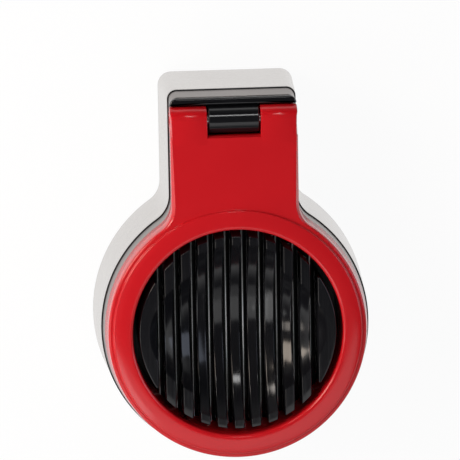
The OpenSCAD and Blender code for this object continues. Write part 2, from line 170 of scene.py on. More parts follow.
def arc(centre: Sequence[float], radius: float, start: float, end: float, steps: int) -> Array:
    """Points on an arc, from start to end in degrees, both included."""
    turn = np.radians(np.linspace(start, end, steps + 1))
    return np.asarray(centre) + radius * np.stack([np.cos(turn), np.sin(turn)], -1)


def line(start: Sequence[float], end: Sequence[float], steps: int) -> Array:
    """Points on a straight line, both ends included."""
    t = np.linspace(0, 1, steps + 1)[:, None]
    return np.asarray(start) * (1 - t) + np.asarray(end) * t


def at_height(plan: Array, z: Any) -> Array:
    """A plan of x and y, lifted to height z, which is one number or one for each point."""
    return np.concatenate([plan, np.broadcast_to(z, plan.shape[:1])[:, None]], -1)


def turned(profile: Array, steps: int) -> Array:
    """A profile of radius and height, turned about the drum's axis: rows follow the profile."""
    turn = np.radians(np.arange(steps) * 360 / steps)
    return np.stack([profile[:, :1] * np.cos(turn), profile[:, :1] * np.sin(turn),
                     np.broadcast_to(profile[:, 1:], (len(profile), steps))], -1)


def round_drop(inset: Array, radius: float) -> Array:
    """How far a rounded edge lies below its face, at a distance in from the wall."""
    short = np.clip(radius - inset, 0, radius)
    return radius - np.sqrt(radius ** 2 - short ** 2)


def along_x(rows: Sequence[tuple[Any, Array]], axis: Pair) -> Shape:
    """A closed tube along X, from rows of x and of y and z about the axis; its bore closes it."""
    points = [np.column_stack([np.broadcast_to(x, len(s)), s + axis]) for x, s in rows]
    return Shape.grid(np.array(points), True, True).outward()


@dataclass(frozen=True)
class KeyholePlan:
    """A drum with a tail, seen from above. An offset keeps the angle at which the neck starts."""

    drum_r: float
    tail_half: float
    neck_r: float
    corner_r: float
    reach: float
    least_corner: float = 0.4
    drum_steps: int = 96
    neck_steps: int = 20
    side_steps: int = 24
    corner_steps: int = 12
    end_steps: int = 12

    @property
    def neck_deg(self) -> float:
        """Angle at which the drum's arc ends and the neck's begins."""
        return math.degrees(math.acos((self.tail_half + self.neck_r) / (self.drum_r + self.neck_r)))

    def half(self, offset: float, reach: float, side_y: Sequence[float] = ()) -> Array:
        """Right half of the outline, from the front of the drum to the middle of the tail's end.

        Args:
            offset: distance outwards from the plan.
            reach: the tail's reach at this offset.
            side_y: places on Y along the tail's side that have a point each.

        Returns:
            Points of x and y.
        """
        r, w, f = self.drum_r + offset, self.tail_half + offset, self.neck_r - offset
        k = max(self.least_corner, self.corner_r + offset)
        a = self.neck_deg
        neck = (w + f, (r + f) * math.sin(math.radians(a)))
        side = np.linspace(neck[1], reach - k, self.side_steps + 1)
        for y in side_y:
            side[np.argmin(abs(side - y))] = y
        return np.concatenate([
            arc((0, 0), r, -90, a, self.drum_steps),
            arc(neck, f, a + 180, 180, self.neck_steps)[1:],
            np.stack([np.full_like(side, w), side], -1)[1:],
            arc((w - k, reach - k), k, 0, 90, self.corner_steps)[1:],
            line((w - k, reach), (0, reach), self.end_steps)[1:]])

    def loop(self, offset: float = 0.0, reach: float | None = None,
             side_y: Sequence[float] = ()) -> Array:
        """The whole outline: the right half and its mirror image, which share their ends."""
        half = self.half(offset, self.reach + offset if reach is None else reach, side_y)
        return np.concatenate([half, half[-2:0:-1] * [-1, 1]])

    def angles(self) -> Array:
        """For each point of the loop, the angle on the drum that it is joined to.

        On the drum it is the point's own angle. Round the tail it runs on to straight back, by
        the share of the way along the outline.

        Returns:
            The angles in radians.
        """
        half = self.half(0.0, self.reach)
        step = np.linalg.norm(np.diff(half, axis=0), axis=1)
        tail = np.concatenate([[0], np.cumsum(step[self.drum_steps:])])
        a = self.neck_deg
        right = np.concatenate([np.linspace(-90, a, self.drum_steps + 1)[:-1],
                                a + (90 - a) * tail / tail[-1]])
        return np.radians(np.concatenate([right, 180 - right[-2:0:-1]]))

    def on_circle(self, radius: float) -> Array:
        """The loop's points carried to a circle about the drum's axis."""
        turn = self.angles()
        return radius * np.stack([np.cos(turn), np.sin(turn)], -1)


# ---- materials -------------------------------------------

def linear(code: str) -> tuple[float, float, float, float]:
    """Turns an sRGB hex code into a linear colour.

    Args:
        code: the code, such as "#c81e24".

    Returns:
        Red, green, blue and alpha.
    """
    knee, slope, lift, power = 0.04045, 12.92, 0.055, 2.4   # of the sRGB curve
    parts = [int(code[k:k + 2], 16) / 255 for k in (1, 3, 5)]
    return (*(c / slope if c <= knee else ((c + lift) / (1 + lift)) ** power for c in parts), 1.0)


WHITE = linear("#ffffff")


def add(tree: Tree, kind: str, values: dict | None = None, links: dict | None = None,
        **settings: Any) -> Any:
    """Adds one node.

    Args:
        tree: the node tree.
        kind: the node's type name.
        values: input socket (name or number) to value.
        links: input socket (name or number) to the output socket that feeds it.
        settings: the node's own properties.

    Returns:
        The node's outputs.
    """
    node = tree.nodes.new(kind)
    for name, value in settings.items():
        setattr(node, name, value)
    for socket, value in (values or {}).items():
        node.inputs[socket].default_value = value
    for socket, source in (links or {}).items():
        tree.links.new(source, node.inputs[socket])
    return node.outputs


def remap(tree: Tree, source: Socket, span: Pair, to: Pair, kind: str = "LINEAR") -> Socket:
    """Carries a value from one span of numbers to another."""
    return add(tree, "ShaderNodeMapRange", {"From Min": span[0], "From Max": span[1],
                                            "To Min": to[0], "To Max": to[1]},
               {"Value": source}, interpolation_type=kind)[0]


def cleared(owner: Any) -> Tree:
    """Switches on the nodes of a new material or world.

    Args:
        owner: the material or world.

    Returns:
        Its node tree, emptied.
    """
    owner.use_nodes = True
    owner.node_tree.nodes.clear()
    return owner.node_tree


class Lay(Enum):
    """How a surface was brushed, drawn or ground: its pattern's scale on X, Y and Z."""

    AROUND = (0.02, 0.02, 1.0)
    ALONG_WIRE = (1.0, 0.02, 1.0)
    ALONG_BARS = (1.0, 0.04, 0.04)
    EVEN = (1.0, 1.0, 1.0)


@dataclass(frozen=True)
class Finish:
    """What a surface is and how it was made. Pattern sizes are in millimetres.

    Its colour wanders between the first and the second. Its roughness swings about its middle
    as the grain's noise runs through its usual span.
    """

    name: str
    colour: str
    second: str
    roughness: float
    swing: float
    cloud_mm: float
    grain_mm: float
    grain_depth_mm: float
    metallic: float = 0.0
    lay: Lay = Lay.EVEN
    ripple_mm: float = 0.0
    ripple_depth_mm: float = 0.0
    noise_span: Pair = (0.3, 0.7)

    def noise(self, tree: Tree, size_mm: float, detail: float, place: Socket) -> Socket:
        """Adds a noise of this size, with so many finer layers, and returns its value."""
        return add(tree, "ShaderNodeTexNoise", {"Scale": 1 / (size_mm * MM), "Detail": detail},
                   {"Vector": place})[0]

    def bump(self, tree: Tree, depth_mm: float, links: dict[str, Socket]) -> Socket:
        """Adds a bump of this depth, and returns the normal that it makes."""
        return add(tree, "ShaderNodeBump", {"Distance": depth_mm * MM}, links)[0]

    @cache
    def material(self) -> bpy.types.Material:
        """Builds the material once: cloudy colour, and a fine grain in roughness and normal.

        Returns:
            The material.
        """
        made = bpy.data.materials.new(self.name)
        tree = cleared(made)
        place = add(tree, "ShaderNodeTexCoord")["Object"]
        laid = add(tree, "ShaderNodeMapping", {"Scale": self.lay.value}, {"Vector": place})[0]
        cloud = self.noise(tree, self.cloud_mm, 3.0, place)
        grain = self.noise(tree, self.grain_mm, 2.0, laid)
        colour = add(tree, "ShaderNodeMix",
                     {MIX_FIRST: linear(self.colour), MIX_SECOND: linear(self.second)},
                     {MIX_SHARE: cloud}, data_type="RGBA")[MIX_RESULT]
        rough = remap(tree, grain, self.noise_span,
                      (self.roughness - self.swing, self.roughness + self.swing))
        normal = self.bump(tree, self.grain_depth_mm, {"Height": grain})
        if self.ripple_depth_mm:
            ripple = self.noise(tree, self.ripple_mm, 1.0, place)
            normal = self.bump(tree, self.ripple_depth_mm, {"Height": ripple, "Normal": normal})
        shader = add(tree, "ShaderNodeBsdfPrincipled", {"Metallic": self.metallic},
                     {"Base Color": colour, "Roughness": rough, "Normal": normal})[0]
        add(tree, "ShaderNodeOutputMaterial", None, {"Surface": shader})
        return made


# Moulded ABS with a polished tool: even deep red, a clear but soft gloss.
RED_ABS = Finish(
    "red_moulded_abs", "#bb111a", "#c2151d", roughness=0.16, swing=0.02, cloud_mm=14.0,
    grain_mm=0.25, grain_depth_mm=0.0004, ripple_mm=9.0, ripple_depth_mm=0.004)
# The same plastic in black: its gloss is all that shows, streaked by the mould's ground bars.
BLACK_ABS = Finish(
    "black_moulded_abs", "#0f0f12", "#131316", roughness=0.14, swing=0.03, cloud_mm=11.0,
    grain_mm=0.45, grain_depth_mm=0.0022, lay=Lay.ALONG_BARS, ripple_mm=5.0,
    ripple_depth_mm=0.012)
# Black plastic from a spark-eroded tool: a fine matt grain.
BLACK_MATT = Finish(
    "black_grained_plastic", "#121213", "#19191a", roughness=0.55, swing=0.08, cloud_mm=6.0,
    grain_mm=0.35, grain_depth_mm=0.012)
# Deep-drawn stainless sheet, polished round the wall: pale and satin.
SATIN_STEEL = Finish(
    "satin_stainless_sheet", "#cdc9c6", "#d6d3d1", roughness=0.26, swing=0.05, cloud_mm=22.0,
    grain_mm=0.08, grain_depth_mm=0.0006, metallic=1.0, lay=Lay.AROUND, ripple_mm=30.0,
    ripple_depth_mm=0.03)
# The collar's sheet: its darker colour is painted shade, standing for the darker things that its
# band mirrors, and it is a little duller.
COLLAR_STEEL_PAINTED_SHADE = Finish(
    "collar_steel_painted_shade", "#938e8c", "#9c9795", roughness=0.32, swing=0.05, cloud_mm=18.0,
    grain_mm=0.08, grain_depth_mm=0.0006, metallic=1.0, lay=Lay.AROUND)
# Drawn stainless wire: bright lines along it.
WIRE_STEEL = Finish(
    "drawn_stainless_wire", "#e6e6e6", "#f0f0f0", roughness=0.31, swing=0.05, cloud_mm=8.0,
    grain_mm=0.05, grain_depth_mm=0.0004, metallic=1.0, lay=Lay.ALONG_WIRE)
# Zinc-plated screw steel: slightly cloudy.
ZINC_STEEL = Finish(
    "zinc_plated_steel", "#b9bcc0", "#c6c8cb", roughness=0.3, swing=0.06, cloud_mm=1.2,
    grain_mm=0.15, grain_depth_mm=0.002, metallic=1.0)


class Maker:
    """Base of the sub-assemblies: dresses pieces and ties them to the frame."""

    def paint(self, piece: Object, finish: Finish) -> None:
        """Gives the piece this finish and no other."""
        piece.data.materials.clear()
        piece.data.materials.append(finish.material())

    def stand_for(self, piece: Object, node: str, body: str, slot: str, finish: Finish) -> None:
        """A new piece takes the place of a CAD node.

        Args:
            piece: the new piece.
            node: the CAD node that it stands for.
            body: the CAD body that it moves with.
            slot: the record's material slot; not used.
            finish: how its surface looks.
        """
        self.paint(piece, finish)
        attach(piece, body)
        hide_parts(node)
        LOG.info("%s stands for %s, %d faces", piece.name, node, len(piece.data.polygons))

    def dress(self, node: str, finish: Finish) -> None:
        """A CAD node that keeps its mesh gets a finish."""
        self.paint(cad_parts[node], finish)
        LOG.info("%s keeps its mesh", node)


# ---- base ------------------------------------------------

BASE_PLAN = KeyholePlan(drum_r=41.65, tail_half=19.9, neck_r=9.0, corner_r=3.0, reach=74.5)


@dataclass
class SteelShell:
    """Side wall of the base: leans out to a rolled foot and turns in to a lip at its top."""

    height: float = 27.0
    lean: float = 1.32
    sheet: float = 0.6
    foot_r: float = 2.0
    foot_flat: float = 0.6
    tread: float = 0.8
    lip: float = 2.2
    top_r: float = 0.8
    top_soft: float = 0.3

    def profile(self) -> Array:
        """The sheet's section, from the lip over the wall to the rolled foot and back.

        Returns:
            Points of offset from the plan and height.
        """
        foot_z = self.tread + self.foot_r
        foot_d = self.lean * (self.height - foot_z) / self.height
        lip_d = foot_d - self.foot_r - self.foot_flat
        t = self.sheet
        outer = np.concatenate([
            [[-self.lip, self.height]],
            arc((-self.top_r, self.height - self.top_r), self.top_r, 90, 0, 6),
            line((0.0, self.height - self.top_r - self.top_soft), (foot_d, foot_z), 6),
            arc((foot_d - self.foot_r, foot_z), self.foot_r, AFTER_WALL_DEG, -90, 10),
            [[lip_d, self.tread]]])
        inner = np.concatenate([
            [[lip_d, self.tread + t]],
            arc((foot_d - self.foot_r, foot_z), self.foot_r - t, -90, 0, 8),
            [[-t, self.height - self.top_r], [-self.top_r, self.height - t],
             [-self.lip, self.height - t]]])
        return np.concatenate([outer, inner])

    def shape(self) -> Shape:
        """The section carried round the keyhole plan, closed both ways."""
        rows = [at_height(BASE_PLAN.loop(d), z) for d, z in self.profile()]
        return Shape.grid(np.array(rows), True, True).outward()


@dataclass
class Collar:
    """Steel band between the shell and the frame, cut down at both sides for the hinge barrel."""

    low: float = 27.5
    top: float = 32.0
    lean: float = 1.0
    edge: float = 0.5
    sheet: float = 0.6
    top_reach: float = 72.3
    foot_in: float = 0.42
    notch: Pair = (61.2, 70.3)
    notch_z: float = 28.3
    soft: float = 0.05

    def profile(self) -> Array:
        """The sheet's section, from its foot over its round top and back.

        Returns:
            Points of offset from the plan, the tail's reach and height.
        """
        t, e, k, foot = self.sheet, self.edge, self.lean, self.foot_in
        wall = line((-foot, BASE_PLAN.reach - foot, self.low),
                    (-k, self.top_reach + t, self.top - e), 8)
        turn = np.radians(np.linspace(0, 90, 7))[1:]
        sunk = e * (1 - np.cos(turn))
        edge = np.stack([-k - sunk, self.top_reach + t - sunk,
                         self.top - e * (1 - np.sin(turn))], -1)
        return np.concatenate([wall, edge, [
            [-k - t, self.top_reach, self.top],
            [-k - t, self.top_reach, self.top - e],
            [-foot - t, BASE_PLAN.reach - foot - t, self.low]]])

    def shape(self) -> Shape:
        """The section carried round the plan; in the notches the wall stops at a low height.

        Returns:
            The collar, closed both ways.
        """
        low_y, high_y = self.notch
        stops = (low_y - self.soft, low_y, high_y, high_y + self.soft)
        points = np.array([at_height(BASE_PLAN.loop(d, reach, stops), z)
                           for d, reach, z in self.profile()])
        y, x = points[..., 1], abs(points[..., 0])
        cut = (y >= low_y) & (y <= high_y) & (x > BASE_PLAN.tail_half / 2)
        points[..., 2] = np.where(cut, np.minimum(points[..., 2], self.notch_z), points[..., 2])
        return Shape.grid(points, True, True).outward()


@dataclass
class Cradle:
    """Black cup with a deck round it, and the slotted bars that hold the egg."""

    plan_gap: float = 0.1
    flange_low: float = 27.0
    deck_z: float = 27.5
    deck_steps: int = 8
    cup_r: float = 36.2
    cup_t: float = 1.8
    lip_r: float = 0.4
    lip_soft: float = 0.12
    lip_deep: float = 3.0
    floor_z: float = 18.0
    floor_r: float = 1.5
    floor_in: float = 8.0
    under_edge: float = 1.0
    bars_r: float = 30.4
    land_z: float = 39.4
    pitch: float = 5.25
    bar_w: float = 2.95
    bar_count: int = 9
    long_bars: int = 5
    depth: float = 13.5
    across: float = 27.3
    along: float = 22.0
    long_r: float = 27.7
    edge: float = 0.34
    crease: float = 0.1
    boss_d: float = 6.0
    boss_at: float = 32.0
    boss_low: float = 5.0
    boss_edge: float = 0.3
    boss_lap: float = 0.1
    boss_steps: int = 40
    boss_deg: Sequence[float] = (45, 135, 225, 315)
    steps_along: Sequence[int] = (4, 3, 2, 64, 2, 3, 4)
    steps_across: Sequence[int] = (4, 8, 4)
    tip_edges: float = 2.2
    tip_steps: int = 96
    tip_spare: float = 0.02
    tip_across: Sequence[int] = (4, 12, 2, 6, 4)

    def cap_radius(self, half: float) -> float:
        """Radius of the circle that is `half` wide at the lands and as deep as the bowl."""
        return (half ** 2 + self.depth ** 2) / (2 * self.depth)

    def across_radius(self, x: Array) -> Array:
        """Radius at x of the bowl for an egg laid across: an arc turned about an axis along X."""
        profile_r, turn_r = self.cap_radius(self.across), self.cap_radius(self.along)
        return np.sqrt(np.maximum(profile_r ** 2 - x ** 2, 0)) - (profile_r - turn_r)

    def top(self, x: Array, y: Array, lengthwise: bool) -> Array:
        """Height of a bar's top: the land, or the lower of the bowls that cut it.

        Args:
            x: places across the bars.
            y: places along them.
            lengthwise: whether the bowl for an egg laid lengthwise cuts this bar too.

        Returns:
            The height at each place.
        """
        rise = self.cap_radius(self.along) - self.depth
        inside = np.maximum(self.across_radius(x), 0) ** 2 - y ** 2
        bowl = self.land_z + rise - np.sqrt(np.maximum(inside, 0))
        if lengthwise:
            ball = self.cap_radius(self.long_r)
            below = np.sqrt(np.maximum(ball ** 2 - x ** 2 - y ** 2, 0))
            bowl = np.minimum(bowl, self.land_z + ball - self.depth - below)
        return np.minimum(self.land_z, bowl)

    def land_edge(self, x: Array, lengthwise: bool) -> Array:
        """Where a bar's land begins: the wider of the bowls that cut it, at the lands' height.

        Args:
            x: places across the bar.
            lengthwise: whether the bowl for an egg laid lengthwise cuts this bar too.

        Returns:
            The distance along the bar from its middle.
        """
        rise = self.cap_radius(self.along) - self.depth
        edge = np.sqrt(np.maximum(np.maximum(self.across_radius(x), 0) ** 2 - rise ** 2, 0))
        if lengthwise:
            edge = np.maximum(edge, np.sqrt(np.maximum(self.long_r ** 2 - x ** 2, 0)))
        return edge

    def walled(self, top: Array) -> Shape:
        """A top surface with walls down to the floor all round, and a flat underside.

        Args:
            top: the top's points.

        Returns:
            A closed shape.
        """
        low = self.floor_z - self.cup_t / 2
        full = np.pad(top, ((1, 1), (1, 1), (0, 0)), mode="edge")
        rim = np.ones(full.shape[:2], bool)
        rim[1:-1, 1:-1] = False
        full[..., 2] = np.where(rim, low, full[..., 2])
        under = full.copy()
        under[..., 2] = low
        base = Shape.grid(under)
        return Shape.join([Shape.grid(full), Shape(base.points, base.quads[:, ::-1])]).outward()

    def bar(self, number: int) -> Shape:
        """One straight bar: x across it and y along it, with rounded edges and a soft crease.

        Args:
            number: 0 for the middle bar, and counted to both sides.

        Returns:
            The bar, closed.
        """
        lengthwise = abs(number) <= self.long_bars // 2
        middle = number * self.pitch
        e = self.edge
        knots = [np.array(middle + v) for v in (-self.bar_w / 2, -self.bar_w / 2 + e,
                                                self.bar_w / 2 - e, self.bar_w / 2)]
        x = between(knots, self.steps_across)
        end = np.sqrt(self.bars_r ** 2 - x ** 2)
        edge = self.land_edge(x, lengthwise)
        marks = [-end, -end + e, -edge - self.crease, -edge + self.crease]
        y = between(marks + [-m for m in marks[::-1]], self.steps_along)
        x_all = np.broadcast_to(x[:, None], y.shape)
        in_x = self.bar_w / 2 - abs(x_all - middle)
        in_y = end[:, None] - abs(y)
        z = self.top(x_all, y, lengthwise) - round_drop(in_x, e) - round_drop(in_y, e)
        return self.walled(np.stack([x_all, y, z], -1))

    def crescent(self) -> Shape:
        """The solid beside the last bar on the right: y along it and x out to the bars' circle.

        Returns:
            The crescent, closed.
        """
        e = self.edge
        start = self.bar_count / 2 * self.pitch + (self.pitch - self.bar_w) / 2
        tip = math.sqrt(self.bars_r ** 2 - (start + self.tip_edges * e) ** 2)
        y = np.sin(np.linspace(-1, 1, self.tip_steps + 1) * math.pi / 2) * tip
        outer = np.sqrt(self.bars_r ** 2 - y ** 2)
        profile_r, turn_r = self.cap_radius(self.across), self.cap_radius(self.along)
        reach = profile_r - turn_r + np.sqrt(y ** 2 + (turn_r - self.depth) ** 2)
        bowl_x = np.sqrt(np.maximum(profile_r ** 2 - reach ** 2, 0))
        first, c = np.full_like(y, start), self.crease
        bowl_x = np.clip(bowl_x, first + e + c + self.tip_spare, outer - e - c - self.tip_spare)
        x = between([first, first + e, bowl_x - c, bowl_x + c, outer - e, outer], self.tip_across)
        y_all = np.broadcast_to(y[:, None], x.shape)
        z = self.top(x, y_all, False) - round_drop(x - start, e) - round_drop(outer[:, None] - x, e)
        return self.walled(np.stack([x, y_all, z], -1))

    def cup(self) -> Shape:
        """Deck and cup in one closed skin: the flange's edge, in to the cup and back under it.

        Returns:
            The skin, whose rows are plans at their heights.
        """
        r, t, f, k, s = self.cup_r, self.cup_t, self.floor_r, self.under_edge, self.lip_soft
        top, floor, low = self.deck_z, self.floor_z, self.floor_z - self.cup_t
        section = np.concatenate([
            [[r + s, top - s], [r, top - self.lip_r]],
            line((r, top - self.lip_deep), (r, floor + f), 2),
            arc((r - f, floor + f), f, AFTER_WALL_DEG, -90, 6),
            line((r - self.floor_in, floor), (0, floor), 3),
            line((0, low), (r + t - k, low), 3),
            [[r + t, low + k], [r + t, self.flange_low]]])
        edge_loop = BASE_PLAN.loop(-self.plan_gap)
        rim, out = BASE_PLAN.on_circle(r + self.lip_r), BASE_PLAN.on_circle(r + t)
        share = np.linspace(0, 1, self.deck_steps + 1)[:, None, None]
        deck = edge_loop * (1 - share) + rim * share
        below = out * (1 - share) + edge_loop * share
        rows = [at_height(p, top) for p in deck]
        rows += [at_height(BASE_PLAN.on_circle(radius), z) for radius, z in section]
        rows += [at_height(p, self.flange_low) for p in below[1:]]
        return Shape.grid(np.array(rows), True, True).outward()

    def boss(self, turn: float) -> Shape:
        """A screw boss under the cup: a round post with a closed foot.

        Args:
            turn: its angle about the drum's axis, in degrees.

        Returns:
            The boss, closed.
        """
        r, k, low = self.boss_d / 2, self.boss_edge, self.boss_low
        high = self.floor_z - self.cup_t + self.boss_lap
        profile = np.array([[0, low], [r - k, low], [r, low + k], [r, high], [0, high]])
        centre = np.radians(turn)
        shape = Shape.grid(turned(profile, self.boss_steps), False, True)
        shift = [self.boss_at * math.cos(centre), self.boss_at * math.sin(centre), 0]
        return Shape(shape.points + shift, shape.quads).outward()

    def shape(self) -> Shape:
        """Cup, bosses, bars and the two crescents.

        Returns:
            All of them in one.
        """
        most = (self.bar_count - 1) // 2
        right = self.crescent()
        return Shape.join([self.cup()] + [self.boss(turn) for turn in self.boss_deg]
                          + [self.bar(n) for n in range(-most, most + 1)]
                          + [right, right.mirrored()])


@dataclass
class HingeBracket:
    """Black bracket: foot plate, back wall with a rounded cap, and the middle knuckle."""

    foot_half: float = 18.1
    foot_y: Pair = (59.7, 72.1)
    foot_z: Pair = (27.5, 28.4)
    wall_y: Pair = (70.5, 72.1)
    wall_z: Pair = (27.9, 33.1)
    cap_half: float = 19.5
    cap_y: Pair = (70.5, 72.66)
    cap_z: Pair = (32.2, 34.0)
    corner_r: float = 2.1
    least_corner: float = 0.05
    top_r: float = 0.6
    foot_edge: float = 0.2
    wall_corner: float = 1.5
    wall_edge: float = 0.1
    knuckle_half: float = 7.8
    bore_r: float = 1.56
    block_grow: float = 1.6
    block_low: float = 27.6
    block_back: float = 70.8
    ring_step_deg: float = 5.0

    def slab(self, half: float, y: Pair, z: Pair, corner: float, edge: float) -> Shape:
        """A plate with round back corners and rounded upper edges.

        Args:
            half: half its width.
            y: its front and its back.
            z: its underside and its top.
            corner: radius of the back corners, seen from above.
            edge: radius of the upper edges.

        Returns:
            A closed shape.
        """
        def plan(d: float) -> Array:
            """The outline, moved in by the distance d, with its round back corners."""
            w, front, back, r = half - d, y[0] + d, y[1] - d, max(corner - d, self.least_corner)
            right = np.concatenate([line((0, front), (w, front), 8),
                                    line((w, front), (w, back - r), 4)[1:],
                                    arc((w - r, back - r), r, 0, 90, 12)[1:],
                                    line((w - r, back), (0, back), 8)[1:]])
            return np.concatenate([right, right[-2:0:-1] * [-1, 1]])

        centre = np.broadcast_to([0.0, sum(y) / 2], plan(0).shape)
        rows = [at_height(centre, z[0]), at_height(plan(0), z[0])]
        for turn in np.radians(np.linspace(0, 90, 7)):
            rows.append(at_height(plan(edge * (1 - math.cos(turn))),
                                  z[1] - edge + edge * math.sin(turn)))
        rows.append(at_height(centre, z[1]))
        return Shape.grid(np.array(rows), False, True).outward()

    def knuckle(self) -> Shape:
        """Middle knuckle: a barrel on a block, with the pin's bore through it.

        Returns:
            The knuckle, closed.
        """
        y, z = HINGE
        turn = np.radians(np.arange(0, 360, self.ring_step_deg))
        ring = np.stack([np.cos(turn), np.sin(turn)], -1)
        section = ring * BARREL_R
        block = np.clip(section * self.block_grow, [-BARREL_R, self.block_low - z],
                        [self.block_back - y, 0])
        section = np.where(ring[:, 1:] < 0, block, section)
        e, half, bore = BARREL_EDGE, self.knuckle_half, ring * self.bore_r
        small = section * (1 - e / BARREL_R)
        return along_x([(half, bore), (half, small), (half - e, section),
                        (-half + e, section), (-half, small), (-half, bore)], HINGE)

    def shape(self) -> Shape:
        """Foot plate, wall, cap and knuckle.

        Returns:
            All of them in one.
        """
        foot = self.slab(self.foot_half, self.foot_y, self.foot_z, self.corner_r, self.foot_edge)
        wall = self.slab(self.foot_half, self.wall_y, self.wall_z, self.wall_corner, self.wall_edge)
        cap = self.slab(self.cap_half, self.cap_y, self.cap_z, self.corner_r, self.top_r)
        return Shape.join([foot, wall, cap, self.knuckle()])


class Base(Maker):
    """Everything that stands still: shell, collar, cradle, bracket, foot and their screws."""

    def build(self) -> None:
        """Makes the base's pieces and dresses the CAD nodes that stay."""
        for part, name, node, slot, finish in (
                (SteelShell(), "steel_shell", "base_shell", "polished_steel", SATIN_STEEL),
                (Collar(), "steel_collar", "collar", "collar_steel", COLLAR_STEEL_PAINTED_SHADE),
                (Cradle(), "egg_cradle", "cradle", "black_abs", BLACK_ABS),
                (HingeBracket(), "bracket_body", "hinge_bracket", "black_abs", BLACK_ABS)):
            self.stand_for(part.shape().placed(name), node, "base", slot, finish)
        self.dress("bottom_frame", BLACK_MATT)
        for node in ("base_screws", "hinge_screws"):
            self.dress(node, ZINC_STEEL)


# ---- frame -----------------------------------------------

